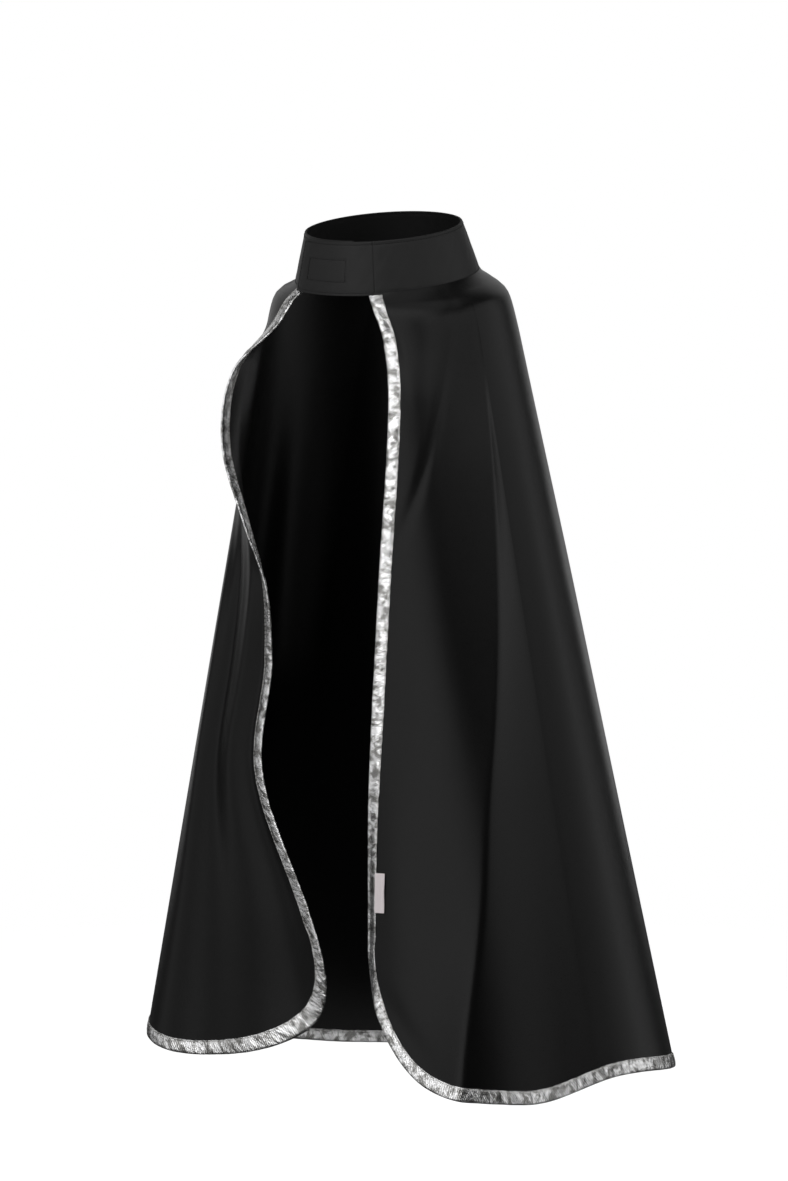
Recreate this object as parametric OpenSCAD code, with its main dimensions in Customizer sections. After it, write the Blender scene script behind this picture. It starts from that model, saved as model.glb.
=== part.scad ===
// Child's superhero cape: a black cloth with a stand collar that closes at the front
// with hook and loop, and a silver binding that runs round every free edge.
//
// The frame: +Z is up, the wearer faces -Y and the wearer's left is +X.
// The origin is the middle of the neck opening, level with the seam under the collar.
// Angles go round the neck from the centre front, positive towards the wearer's left.

/* [Cape] */
// Length of the cloth from the neck seam to the hem at the front
cape_length = 612; // [480:1:740]
// Thickness of the cloth
cloth_t = 0.8; // [0.5:0.1:1.5]
// How far the cloth runs out over a shoulder before it drops
shoulder_out = 22; // [16:1:30]
// How fast the sides flare, in mm out for each mm down
side_flare = 0.2; // [0.12:0.002:0.24]
// How fast the front and the back flare, in mm out for each mm down
front_flare = 0.168; // [0.12:0.002:0.22]
// Height of the soft flutes at the hem
flute_h = 6; // [0:1:12]
// Radius of the two rounded lower corners
corner_r = 120; // [60:1:160]

/* [Collar] */
// Radius of the neck seam
neck_r = 72; // [58:1:90]
// How much narrower the collar is at its top, on the radius
collar_taper = 11; // [0:1:16]
// Height of the stand collar
collar_h = 40; // [30:1:50]
// Forward tilt of the neck opening, in degrees
neck_tilt = 7; // [0:1:12]
// Thickness of one cloth ply of the collar
ply_t = 0.5; // [0.3:0.1:0.8]
// Thickness of the stiffening layer inside the collar
stiffener_t = 0.6; // [0.3:0.1:1.0]
// Angle of the two front edges where they meet the collar
edge_angle = 28; // [22:1:36]
// Length of the flap beyond the centre front, in degrees round the neck
flap_reach = 30; // [24:1:36]
// Length of the underlap beyond the centre front, in degrees round the neck
underlap_reach = 16; // [12:1:18]

/* [Closure] */
// Length of the two patches, in degrees round the neck
patch_angle = 33; // [20:1:38]
// Height of the two patches
patch_h = 18; // [12:1:26]
// Thickness of each patch
patch_t = 1.0; // [0.6:0.1:1.6]

/* [Binding] */
// Width of the binding on each face of the cloth
binding_w = 10; // [6:0.5:16]
// Thickness of the binding
binding_t = 0.5; // [0.3:0.1:0.8]

/* [Labels] */
// Height of the ribbon label on the left front
label_h = 30; // [20:1:40]
// How far the ribbon label stands out of the binding
label_w = 8; // [5:1:14]
// Height of the ribbon label's top edge, as a drop below the neck seam
label_drop = 434; // [200:2:450]
// Thickness of the folded ribbon
label_t = 0.4; // [0.3:0.1:0.6]
// Width of the care label inside the neck
care_w = 25; // [15:1:40]
// Length of the care label
care_h = 36; // [20:1:60]

/* [Hidden] */

black = "#1d1d1f";
silver = "#c9c9cb";
white = "#f0eeee";

LEFT = 1;
RIGHT = -1;
ROUND = 0;

// Angle of the straight side lines that the two fronts swing about
side_angle = 80;
// Drop of the yoke that stays sewn to the collar and lies on the shoulders
yoke_drop = 45;
// Half of the gap between pieces that move apart
swing_gap = 0.5;
// Half of the gap along each side line, in degrees
side_gap = 0.17;
// Clearance between the binding and the cloth that it holds
binding_gap = 0.1;
// Clearance under the collar's lower edge
seam_gap = 0.4;
// Running clearance between the two patches, and behind the labels
touch_gap = 0.4;
// Clearance between layers that are sewn together
layer_gap = 0.06;
// Angle of the front edges at the hem, where they hang closer together
hem_edge_angle = 18;
// How far the axis of the cape moves back between the neck and the hem
hem_back = 16;
// Softness of the bend over the shoulder
bend = 12;
// Topstitching: its distance from an edge, its width and its height
stitch_in = 2.2;
stitch_w = 0.7;
stitch_t = 0.3;
// Step of the collar's facets, in degrees round the neck
step = 4;

// Total thickness of the collar, and the pitch of its spiral: the flap lies over
// the underlap with both patches between them
collar_t = 2 * ply_t + stiffener_t;
wrap = collar_t + 2 * (patch_t + layer_gap) + touch_gap;

// The hem: extra length in mm at each angle round the neck
hem_extra = [[-180, 34], [-135, 42], [-90, 16], [-60, -16], [-42, -4], [-25, 0],
    [25, -5], [35, -5], [50, -11], [68, -4], [86, -14], [104, -4], [130, 18], [180, 34]];

// The two front edges: at each share of the length, how far the edge hangs away
// from the plain cone, in mm to the wearer's left and in mm back
left_edge = [[0, 0, 0], [0.05, 11, 8], [0.13, 21, 6], [0.35, 18, 9], [0.6, 14, 18],
    [0.78, 19, 24], [1, 33, 23]];
right_edge = [[0, 0, 0], [0.04, -3, -4], [0.1, -20, -17], [0.19, -13, -19],
    [0.29, 9, -9], [0.37, 19, 2], [0.47, 18, 12], [0.61, 12, 23], [0.78, 56, 43],
    [0.9, 81, 59], [1, 97, 69]];
// How far the right front's edge curls out again over the chest, in mm at each share
// of the length, the way that it curls and the share of the width that curls
right_curl = [[0, 0], [0.04, 1], [0.1, 9], [0.19, 15], [0.29, 14], [0.37, 6], [0.47, 0]];
curl_way = [-0.79, -0.61, 0];
curl_share = 0.3;
// The long soft fold of the left front: at each share of the length, its height in mm
// and the share of the width where it crests, and the way that it stands out
left_fold = [[0, 0, 1], [0.1, 0, 0.98], [0.22, 7, 0.94], [0.38, 12, 0.86], [0.5, 14, 0.78],
    [0.62, 15, 0.68], [0.75, 17, 0.6], [0.9, 18, 0.48], [1, 18, 0.42]];
fold_way = [0.62, -0.78, 0];
// Share of a front's width over which the edge pulls the cloth with it
left_pull = 0.9;
right_pull = 0.6;

// ---- numbers and curves ----

function lerp(a, b, t) = a + (b - a) * t;
function clamp01(t) = min(1, max(0, t));
function smooth(t) = let (u = clamp01(t)) u * u * (3 - 2 * u);
function unit(v) = v / norm(v);

// Smooth curve through the rows of a table: column k against column 0
function slope_at(tab, i, k) =
    let (n = len(tab) - 1, a = max(0, i - 1), b = min(n, i + 1))
    (tab[b][k] - tab[a][k]) / (tab[b][0] - tab[a][0]);
function piece_at(tab, i, k, x) =
    let (h = tab[i + 1][0] - tab[i][0], t = (x - tab[i][0]) / h,
        m0 = slope_at(tab, i, k) * h, m1 = slope_at(tab, i + 1, k) * h)
    (2 * t * t * t - 3 * t * t + 1) * tab[i][k] + (t * t * t - 2 * t * t + t) * m0
    + (3 * t * t - 2 * t * t * t) * tab[i + 1][k] + (t * t * t - t * t) * m1;
function curve(tab, k, x, i = 0) =
    x <= tab[0][0] ? tab[0][k]
    : i >= len(tab) - 1 ? tab[len(tab) - 1][k]
    : x <= tab[i + 1][0] ? piece_at(tab, i, k, x)
    : curve(tab, k, x, i + 1);

// ---- the neck and the collar ----

// The collar is a spiral band. Its turn runs from -flap_reach, at the free end of
// the flap, round the back to 360 + underlap_reach, at the end of the underlap.
function band_r(turn, h) =
    neck_r + wrap * (0.5 - (turn + flap_reach) / 360) - collar_taper * h / collar_h;
function tilted(p) =
    [p[0], p[1] * cos(neck_tilt) - p[2] * sin(neck_tilt),
        p[1] * sin(neck_tilt) + p[2] * cos(neck_tilt)];
function band(turn, h, off) =
    let (r = band_r(turn, h) + off)
    tilted([r * sin(turn), -r * cos(turn), h]);

// ---- the cloth as a surface ----

// Value at an angle, from the values at the centre front, the sides and the back
function around(a, front, side, back) =
    let (c = cos(a)) lerp(side, c > 0 ? front : back, c * c);
function soft_min(a, b) = (a + b - sqrt((a - b) * (a - b) + bend * bend)) / 2;
function hem_drop(a) = cape_length + curve(hem_extra, 1, a);
function flute(a) = flute_h * cos(7 * a + 40) * (1 - around(a, 1, 0, 0));

// Point of the plain draped cone at an angle and a drop below the neck seam
function cone(a, drop) =
    let (out = around(a, 6, shoulder_out + 3 * sin(a), 8),
        steep = around(a, 0.8, 3, 0.8),
        flare = around(a, front_flare, side_flare + 0.017 * sin(a), front_flare),
        fold = flute(a) * max(0, drop - yoke_drop) / cape_length,
        run = soft_min(steep * drop, out + flare * drop) - soft_min(0, out) + fold,
        seam = band(a < 0 ? a + 360 : a, 0, 0))
    [seam[0] + run * sin(a), seam[1] - run * cos(a) + hem_back * drop / cape_length,
        seam[2] - drop];

// Point of a front at a share of its width, from its free edge to its side line
function edge_now(drop) = lerp(edge_angle, hem_edge_angle, drop / cape_length);
function front_angle(side, f, drop) = side * lerp(edge_now(drop), side_angle, f);
function crest(f, peak) =
    let (rise = pow(max(0, f) / peak, 2.5), fall = pow(max(0, 1 - f) / max(0.01, 1 - peak), 1.5))
    (rise + fall - sqrt(pow(rise - fall, 2) + 0.015)) / 2;
function front(side, f, drop) =
    let (tab = side == LEFT ? left_edge : right_edge,
        pull = 1 - smooth(f / (side == LEFT ? left_pull : right_pull)),
        at = drop / cape_length,
        curl = side == LEFT ? 0 : curve(right_curl, 1, at) * pow(max(0, 1 - f / curl_share), 2),
        fold = side == LEFT ? curve(left_fold, 1, at) * crest(f, curve(left_fold, 2, at)) : 0)
    cone(front_angle(side, f, drop), drop)
    + pull * [curve(tab, 1, at), curve(tab, 2, at), 0] + curl * curl_way + fold * fold_way;

// Point of the cloth: the place s is a share of a front's width, or an angle
function cloth(part, s, drop) = part == ROUND ? cone(s, drop) : front(part, s, drop);
// The same point moved out of the cloth, along the cloth's own normal
function cloth_off(part, s, drop, off) =
    let (ds = part == ROUND ? 0.5 : part * 0.01, dd = 1,
        p = cloth(part, s, drop),
        along = cloth(part, s + ds, drop) - p,
        down = cloth(part, s, drop + dd) - p)
    p + off * unit(cross(down, along));

// Width in mm that a full share covers, next to the free edge
function share_w(side, drop) = norm(front(side, 0.02, drop) - front(side, 0, drop)) / 0.02;
hem_share_left = share_w(LEFT, cape_length);
hem_share_right = share_w(RIGHT, cape_length);
function hem_share(side) = side == LEFT ? hem_share_left : hem_share_right;
function hem_of(side, f) = hem_drop(front_angle(side, f, cape_length));

// ---- solids ----

function quad(a, b, c, d) = [[a, b, c], [a, c, d]];

// Closed sheet between two matching lists of points. The triangles and the rim run
// clockwise as seen from the side of the first list.
module sheet(outer, inner, tris, rim) {
    m = len(outer);
    n = len(rim);
    polyhedron(concat(outer, inner), concat(tris,
        [for (t = tris) [t[2] + m, t[1] + m, t[0] + m]],
        [for (k = [0:n - 1]) let (a = rim[k], b = rim[(k + 1) % n]) each
            quad(b, a, a + m, b + m)]));
}

function flipped(tris) = [for (t = tris) [t[2], t[1], t[0]]];
function reversed(list) = [for (i = [len(list) - 1:-1:0]) list[i]];

// Triangles of a grid of points, listed column by column from the top, and its rim
function grid_tris(nc, nr) = [for (i = [0:nc - 2]) for (j = [0:nr - 2])
    let (k = i * nr + j) each quad(k + 1, k, k + nr, k + nr + 1)];
function grid_rim(nc, nr) = concat([for (i = [0:nc - 1]) i * nr],
    [for (j = [1:nr - 1]) (nc - 1) * nr + j],
    [for (i = [nc - 2:-1:0]) i * nr + nr - 1],
    nr > 2 ? [for (j = [nr - 2:-1:1]) j] : []);

// Closed sheet between two grids of points
module shell(outer, inner) {
    nc = len(outer);
    nr = len(outer[0]);
    sheet([for (col = outer) each col], [for (col = inner) each col], grid_tris(nc, nr),
        grid_rim(nc, nr));
}

// Length of the collar between two turns and two heights, and between two offsets
module collar_band(turn0, turn1, h0, h1, off0, off1) {
    n = ceil(abs(turn1 - turn0) / step);
    turns = [for (i = [0:n]) lerp(turn0, turn1, i / n)];
    function grid(off) = [for (t = turns) [band(t, h1, off), band(t, h0, off)]];
    shell(grid(off1), grid(off0));
}

// The folded binding. Each station is a list of the eight corners of its U section.
// It is turned inside out where the stations run the other way round the cloth.
module u_strip(stations, turned) {
    n = len(stations);
    points = [for (s = stations) each s];
    sides = [for (k = [0:n - 2]) for (i = [0:7])
        let (a = k * 8 + i, b = k * 8 + (i + 1) % 8) each
            i % 4 == 1 ? quad(b, b + 8, a + 8, a) : quad(a, b, b + 8, a + 8)];
    function cap(o) = concat(quad(o + 7, o + 2, o + 1, o), quad(o + 6, o + 3, o + 2, o + 7),
        quad(o + 5, o + 4, o + 3, o + 6));
    tris = concat(sides, cap(0), flipped(cap((n - 1) * 8)));
    polyhedron(points, turned ? flipped(tris) : tris);
}

// The U section: how far in from the cloth's edge, and how far off its middle
u_in = cloth_t / 2 + binding_gap;
u_out = u_in + binding_t;
u_back = -binding_gap - binding_t;
u_section = [[binding_w, u_in], [binding_w, u_out], [u_back, u_out], [u_back, -u_out],
    [binding_w, -u_out], [binding_w, -u_in], [-binding_gap, -u_in], [-binding_gap, u_in]];

// A place on a front, as its share of the width and its drop, at a distance u in from
// the free edge: down the straight edge, round the corner and along the hem
function edge_place(side, drop, u) = [u / share_w(side, drop), drop];
function corner_place(side, turn, u) =
    let (r = corner_r - u, f = (corner_r - r * cos(turn)) / hem_share(side))
    [f, hem_of(side, f) - corner_r + r * sin(turn)];
function hem_place(side, f, u) = [f, hem_of(side, f) - u];

// The stations of a front's free edge, shared by the cloth and its binding
edge_n = 22;
hem_n = 9;
corner_turns = [6:8:86];
side_gap_share = side_gap / (side_angle - edge_angle);
function edge_drops(side) =
    let (top = yoke_drop + swing_gap, low = hem_of(side, 0) - corner_r - 4)
    [for (i = [0:edge_n]) lerp(top, low, i / edge_n)];
function hem_shares(side) =
    let (r = corner_r / hem_share(side), end = 1 - side_gap_share)
    [for (i = [0:hem_n]) lerp(r, end, i / hem_n)];
function front_path(side, u) = concat(
    [for (drop = edge_drops(side)) edge_place(side, drop, u)],
    [for (turn = corner_turns) corner_place(side, turn, u)],
    [for (f = hem_shares(side)) hem_place(side, f, u)]);
yoke_drops = [for (i = [0:6]) lerp(seam_gap, yoke_drop - swing_gap, i / 6)];

// ---- the cape ----

back_angles = let (a0 = side_angle + side_gap, n = 30)
    [for (i = [0:n]) let (a = lerp(a0, 360 - a0, i / n)) a > 180 ? a - 360 : a];

module cape_yoke() {
    n = 8;
    function col(part, s, off) = [for (drop = yoke_drops) cloth_off(part, s, drop, off)];
    function hem_col(side, off) =
        [for (drop = yoke_drops) cloth_off(side, binding_w / share_w(side, drop), drop, off)];
    function half(side, off) = concat([col(side, 0, off), hem_col(side, off)],
        [for (i = [2:n]) col(side, i / n, off)]);
    function grid(off) = concat(half(LEFT, off), [for (a = back_angles) col(ROUND, a, off)],
        reversed(half(RIGHT, off)));
    color(black) shell(grid(cloth_t / 2), grid(-cloth_t / 2));
}

module cape_back() {
    top = yoke_drop + swing_gap;
    function grid(off) = [for (a = back_angles) let (low = hem_drop(a) - binding_w)
        concat([for (j = [0:16]) cloth_off(ROUND, a, lerp(top, low, j / 16), off)],
            [cloth_off(ROUND, a, hem_drop(a), off)])];
    color(black) shell(grid(cloth_t / 2), grid(-cloth_t / 2));
}

// A front: a strip as wide as the binding along its free edge, and a grid inside that
module cape_front(side) {
    rim_path = front_path(side, 0);
    path = front_path(side, binding_w);
    nr = edge_n + 1;
    nc = len(path) - edge_n;
    last = len(path) - 1;
    end = path[last][0];
    start = path[edge_n][0];
    function place(i, j) =
        let (share = (path[i + edge_n][0] - start) / (end - start))
        [lerp(path[j][0], end, share), lerp(path[0][1], path[i + edge_n][1], j / edge_n)];
    places = concat([for (i = [0:nc - 1]) for (j = [0:nr - 1]) place(i, j)], rim_path);
    function inside(k) = k < nr ? k : (k - edge_n) * nr + edge_n;
    m = nc * nr;
    tris = concat(grid_tris(nc, nr), [for (k = [0:last - 1]) each
        quad(m + k, inside(k), inside(k + 1), m + k + 1)]);
    rim = concat([for (i = [0:nc - 1]) i * nr],
        [for (j = [1:nr - 1]) (nc - 1) * nr + j], [for (k = [last:-1:0]) m + k]);
    function face(off) = [for (p = places) cloth_off(side, p[0], p[1], off)];
    color(black) sheet(face(cloth_t / 2), face(-cloth_t / 2),
        side == LEFT ? tris : flipped(tris), side == LEFT ? rim : reversed(rim));
}

module cape_left_front() {
    cape_front(LEFT);
}

module cape_right_front() {
    cape_front(RIGHT);
}

// ---- the binding ----

// Listed so that its facets match the yoke's
module binding_top(side) {
    down = [for (drop = yoke_drops)
        [for (u = u_section) cloth_off(side, u[0] / share_w(side, drop), drop, u[1])]];
    color(silver) u_strip(side == LEFT ? reversed(down) : down, true);
}

module binding_front(side) {
    paths = [for (u = u_section) front_path(side, u[0])];
    color(silver) u_strip([for (k = [0:len(paths[0]) - 1]) [for (c = [0:7])
        cloth_off(side, paths[c][k][0], paths[c][k][1], u_section[c][1])]], side == RIGHT);
}

module binding_left_top() {
    binding_top(LEFT);
}

module binding_right_top() {
    binding_top(RIGHT);
}

module binding_left_front() {
    binding_front(LEFT);
}

module binding_right_front() {
    binding_front(RIGHT);
}

module binding_back_hem() {
    color(silver) u_strip([for (a = back_angles)
        [for (u = u_section) cloth_off(ROUND, a, hem_drop(a) - u[0], u[1])]], false);
}

// ---- the collar ----

// Turns of the collar's fixed stretch and of its flap, either side of the fold
fold_gap = swing_gap / neck_r * 180 / PI;
fixed_turns = [edge_angle + fold_gap, 360 + underlap_reach];
flap_turns = [-flap_reach, edge_angle - fold_gap];
// Offsets of the three layers from the middle of the collar
face_off = collar_t / 2;
core_off = stiffener_t / 2;
// The layer inside stops short of the edges, which are turned in
core_in = 1.5;
core_turn = core_in / neck_r * 180 / PI;

module ply(turns, off0, off1) {
    collar_band(turns[0], turns[1], 0, collar_h, off0, off1);
}

module core(turns) {
    collar_band(turns[0] + core_turn, turns[1] - core_turn, core_in, collar_h - core_in,
        layer_gap - core_off, core_off - layer_gap);
}

module collar_outer() {
    color(black) ply(fixed_turns, core_off, face_off);
}

module collar_stiffener() {
    color(white) core(fixed_turns);
}

module collar_inner() {
    color(black) ply(fixed_turns, -face_off, -core_off);
}

module flap_outer() {
    color(black) ply(flap_turns, core_off, face_off);
}

module flap_stiffener() {
    color(white) core(flap_turns);
}

module flap_inner() {
    color(black) ply(flap_turns, -face_off, -core_off);
}

// ---- the closure ----

// Both patches lie at the same angles and heights, one on each side of the overlap
patch_end = underlap_reach - 3;
patch_low = (collar_h - patch_h) / 2 - 1.5;

module patch(turn, off0, off1) {
    collar_band(turn + patch_end - patch_angle, turn + patch_end, patch_low,
        patch_low + patch_h, off0, off1);
}

module hook_patch() {
    color("#262628") patch(0, -face_off - layer_gap - patch_t, -face_off - layer_gap);
}

module loop_patch() {
    color("#202022") patch(360, face_off + layer_gap, face_off + layer_gap + patch_t);
}

// ---- the labels ----

module side_label() {
    places = [for (x = [0, 0.5, 1]) binding_gap + binding_w + 0.2 + label_w * x];
    off0 = cloth_t / 2 + touch_gap;
    function grid(off) = [for (w = places) [for (j = [0:3])
        let (drop = label_drop + label_h * j / 3)
        cloth_off(LEFT, w / share_w(LEFT, drop), drop, off)]];
    color(white) shell(grid(off0 + label_t), grid(off0));
}

module care_label() {
    half = care_w / 2 / neck_r * 180 / PI;
    off1 = -cloth_t / 2 - touch_gap;
    function grid(off) = [for (x = [-1:0.5:1]) [for (j = [0:6])
        cloth_off(ROUND, 180 + x * half, seam_gap + care_h * j / 6, off)]];
    color(white) shell(grid(off1), grid(off1 - label_t));
}

// ---- the topstitching ----

stitch_off = [face_off + layer_gap, face_off + layer_gap + stitch_t];
stitch_turn = stitch_in / neck_r * 180 / PI;
stitch_w_turn = stitch_w / neck_r * 180 / PI;

module stitch_row(turn0, turn1, h) {
    collar_band(turn0, turn1, h - stitch_w / 2, h + stitch_w / 2, stitch_off[0], stitch_off[1]);
}

module stitch_up(turn, h0, h1) {
    collar_band(turn - stitch_w_turn / 2, turn + stitch_w_turn / 2, h0, h1,
        stitch_off[0], stitch_off[1]);
}

module collar_topstitch() {
    start = fixed_turns[0] + stitch_turn;
    end = 360 - flap_reach - stitch_turn;
    color(black) {
        stitch_row(start, end, stitch_in);
        stitch_row(start, end, collar_h - stitch_in);
    }
}

module flap_topstitch() {
    start = flap_turns[0] + stitch_turn;
    end = flap_turns[1] - stitch_turn;
    box0 = patch_end - patch_angle + stitch_turn / 2;
    box1 = patch_end - stitch_turn / 2;
    low = patch_low + stitch_w;
    high = patch_low + patch_h - stitch_w;
    color(black) {
        stitch_row(start, end, stitch_in);
        stitch_row(start, end, collar_h - stitch_in);
        stitch_up(start, stitch_in + stitch_w, collar_h - stitch_in - stitch_w);
        stitch_row(box0, box1, low);
        stitch_row(box0, box1, high);
        stitch_up(box0, low + stitch_w, high - stitch_w);
        stitch_up(box1, low + stitch_w, high - stitch_w);
    }
}

cape_yoke();
cape_back();
cape_left_front();
cape_right_front();
binding_left_top();
binding_right_top();
binding_left_front();
binding_right_front();
binding_back_hem();
collar_outer();
collar_stiffener();
collar_inner();
flap_outer();
flap_stiffener();
flap_inner();
hook_patch();
loop_patch();
side_label();
care_label();
collar_topstitch();
flap_topstitch();
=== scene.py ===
"""A child's superhero cape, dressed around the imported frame.

Black crepe cloth, silver bound edges and a stand collar closed by a hook-and-loop flap.

The surfaces follow the part's own formulas. Angles are degrees round the neck from the
centre front, positive towards the wearer's left, and a drop is the height below the neck
seam. Lengths are millimetres inside the formulas, and each mesh is written in metres.
"""
import math

import bpy
import numpy as np
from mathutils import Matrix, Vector


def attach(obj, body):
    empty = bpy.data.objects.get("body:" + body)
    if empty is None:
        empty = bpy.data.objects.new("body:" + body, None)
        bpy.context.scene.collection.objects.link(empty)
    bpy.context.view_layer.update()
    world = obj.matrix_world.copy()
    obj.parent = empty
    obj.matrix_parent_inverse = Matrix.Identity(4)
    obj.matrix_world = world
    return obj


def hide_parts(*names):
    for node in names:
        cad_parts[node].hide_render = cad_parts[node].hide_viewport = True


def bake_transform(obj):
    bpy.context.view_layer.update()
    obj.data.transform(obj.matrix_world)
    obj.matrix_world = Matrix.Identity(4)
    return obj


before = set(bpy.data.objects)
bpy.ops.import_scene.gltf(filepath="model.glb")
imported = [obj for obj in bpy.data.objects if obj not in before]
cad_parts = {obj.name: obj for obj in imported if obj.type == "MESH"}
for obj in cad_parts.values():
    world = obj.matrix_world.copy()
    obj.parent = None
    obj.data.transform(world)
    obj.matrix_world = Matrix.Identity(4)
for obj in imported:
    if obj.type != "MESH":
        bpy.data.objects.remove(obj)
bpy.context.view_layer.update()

MM = 0.001
LEFT, RIGHT, ROUND = 1, -1, 0

# ---- sizes shared with the part, in mm and degrees ----
# A front's width is counted in shares, 0 at its free edge and 1 at the side line.

CAPE_LENGTH = 612.0
SHOULDER_OUT = 22.0
SIDE_FLARE = 0.2
FRONT_FLARE = 0.168
FLUTE_H = 6.0
CORNER_R = 120.0
NECK_R = 72.0
COLLAR_TAPER = 11.0
COLLAR_H = 40.0
NECK_TILT = 7.0
PLY_T = 0.5
STIFFENER_T = 0.6
EDGE_ANGLE = 28.0
FLAP_REACH = 30.0
UNDERLAP_REACH = 16.0
PATCH_ANGLE = 33.0
PATCH_H = 18.0
PATCH_T = 1.0
LAYER_GAP = 0.06
TOUCH_GAP = 0.4
BINDING_W = 10.0
LABEL_H = 30.0
LABEL_W = 8.0
LABEL_DROP = 434.0
CARE_W = 25.0
CARE_H = 36.0
SIDE_ANGLE = 80.0
YOKE_DROP = 45.0
SEAM_GAP = 0.4
SEAM_TOP = -2.0
HEM_EDGE_ANGLE = 18.0
HEM_BACK = 16.0
BEND = 12.0
COLLAR_T = 2 * PLY_T + STIFFENER_T
FACE_OFF = COLLAR_T / 2
WRAP = COLLAR_T + 2 * (PATCH_T + LAYER_GAP) + TOUCH_GAP

# How much longer than the cape the hem hangs: (angle, mm)
HEM_EXTRA = [(-180, 34), (-135, 42), (-90, 16), (-60, -16), (-42, -4), (-25, 0), (25, -5),
             (35, -5), (50, -11), (68, -4), (86, -14), (104, -4), (130, 18), (180, 34)]
# How far the free edges are pulled: (share of the length, mm in x, mm in y)
EDGE_TABLE = {
    LEFT: [(0, 0, 0), (0.05, 11, 8), (0.13, 21, 6), (0.35, 18, 9), (0.6, 14, 18),
           (0.78, 19, 24), (1, 33, 23)],
    RIGHT: [(0, 0, 0), (0.04, -3, -4), (0.1, -20, -17), (0.19, -13, -19), (0.29, 9, -9),
            (0.37, 19, 2), (0.47, 18, 12), (0.61, 12, 23), (0.78, 56, 43), (0.9, 81, 59),
            (1, 97, 69)],
}
# The outward curl of the right edge: (share of the length, mm)
RIGHT_CURL = [(0, 0), (0.04, 1), (0.1, 9), (0.19, 15), (0.29, 14), (0.37, 6), (0.47, 0)]
CURL_WAY = np.array([-0.79, -0.61, 0])
CURL_SHARE = 0.3
# The left front's long fold: (share of the length, mm, share of the width at its crest)
LEFT_FOLD = [(0, 0, 1), (0.1, 0, 0.98), (0.22, 7, 0.94), (0.38, 12, 0.86), (0.5, 14, 0.78),
             (0.62, 15, 0.68), (0.75, 17, 0.6), (0.9, 18, 0.48), (1, 18, 0.42)]
FOLD_WAY = np.array([0.62, -0.78, 0])
EDGE_PULL = {LEFT: 0.9, RIGHT: 0.6}


# ---- numbers and curves ----

def lerp(a, b, t):
    return a + (b - a) * t


def smooth(t):
    t = np.clip(t, 0, 1)
    return t * t * (3 - 2 * t)


def hump(x, middle, half):
    """1 at the middle, falling smoothly to nothing about three halves away."""
    return np.exp(-(((x - middle) / half) ** 2))


def sin_deg(a):
    return np.sin(np.radians(a))


def cos_deg(a):
    return np.cos(np.radians(a))


def curve(table, column, x):
    """Smooth curve through a table's rows, as the part draws it."""
    tab = np.array(table, float)
    xs, ys = tab[:, 0], tab[:, column]
    before = np.maximum(np.arange(len(xs)) - 1, 0)
    after = np.minimum(np.arange(len(xs)) + 1, len(xs) - 1)
    slopes = (ys[after] - ys[before]) / (xs[after] - xs[before])
    x = np.clip(np.asarray(x, float), xs[0], xs[-1])
    i = np.clip(np.searchsorted(xs, x, side="left") - 1, 0, len(xs) - 2)
    h = xs[i + 1] - xs[i]
    t = (x - xs[i]) / h
    return ((2 * t**3 - 3 * t**2 + 1) * ys[i] + (t**3 - 2 * t**2 + t) * slopes[i] * h
            + (3 * t**2 - 2 * t**3) * ys[i + 1] + (t**3 - t**2) * slopes[i + 1] * h)


def waves(x, seed, lengths, count=4):
    """Sum of sines of seeded lengths and phases, between about -1 and 1."""
    rng = np.random.default_rng(seed)
    total = np.zeros_like(x)
    for _ in range(count):
        length = rng.uniform(*lengths)
        total = total + rng.uniform(0.5, 1) * np.sin(
            2 * math.pi * x / length + rng.uniform(0, 2 * math.pi))
    return total / count / 0.75


# ---- the neck, the collar and the cloth as surfaces ----

def tilted(p):
    """Leans the neck forward."""
    k = math.radians(NECK_TILT)
    return np.stack([p[..., 0], p[..., 1] * math.cos(k) - p[..., 2] * math.sin(k),
                     p[..., 1] * math.sin(k) + p[..., 2] * math.cos(k)], -1)


def band(turn, h, off):
    """A point of the collar's spiral band, out from its middle by off."""
    turn, h, off = np.broadcast_arrays(*(np.asarray(v, float) for v in (turn, h, off)))
    r = NECK_R + WRAP * (0.5 - (turn + FLAP_REACH) / 360) - COLLAR_TAPER * h / COLLAR_H + off
    return tilted(np.stack([r * sin_deg(turn), -r * cos_deg(turn), h], -1))


def around(a, front, side, back):
    """A value that eases round the neck between the front, the sides and the back."""
    c = cos_deg(a)
    return lerp(side, np.where(c > 0, front, back), c * c)


def soft_min(a, b):
    """The lesser of two values, with a rounded change from one to the other."""
    return (a + b - np.sqrt((a - b) ** 2 + BEND * BEND)) / 2


def hem_drop(a):
    return CAPE_LENGTH + curve(HEM_EXTRA, 1, a)


def signed(a):
    return np.where(a > 180, a - 360, a)


def cone(a, drop):
    """The plain draped cone, with its soft flutes."""
    a, drop = np.broadcast_arrays(np.asarray(a, float), np.asarray(drop, float))
    out = around(a, 6, SHOULDER_OUT + 3 * sin_deg(a), 8)
    steep = around(a, 0.8, 3, 0.8)
    flare = around(a, FRONT_FLARE, SIDE_FLARE + 0.017 * sin_deg(a), FRONT_FLARE)
    flute = FLUTE_H * cos_deg(7 * a + 40) * (1 - around(a, 1, 0, 0))
    fold = flute * np.maximum(0, drop - YOKE_DROP) / CAPE_LENGTH
    below = np.maximum(0, drop)
    run = soft_min(steep * below, out + flare * below) - soft_min(0, out) + fold
    seam = band(np.where(a < 0, a + 360, a), 0, 0)
    return seam + np.stack([run * sin_deg(a), HEM_BACK * drop / CAPE_LENGTH - run * cos_deg(a),
                            -drop], -1)


def front_angle(side, f, drop):
    """The angle of a share of a front's width."""
    edge = lerp(EDGE_ANGLE, HEM_EDGE_ANGLE, drop / CAPE_LENGTH)
    return side * lerp(edge, SIDE_ANGLE, f)


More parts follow.
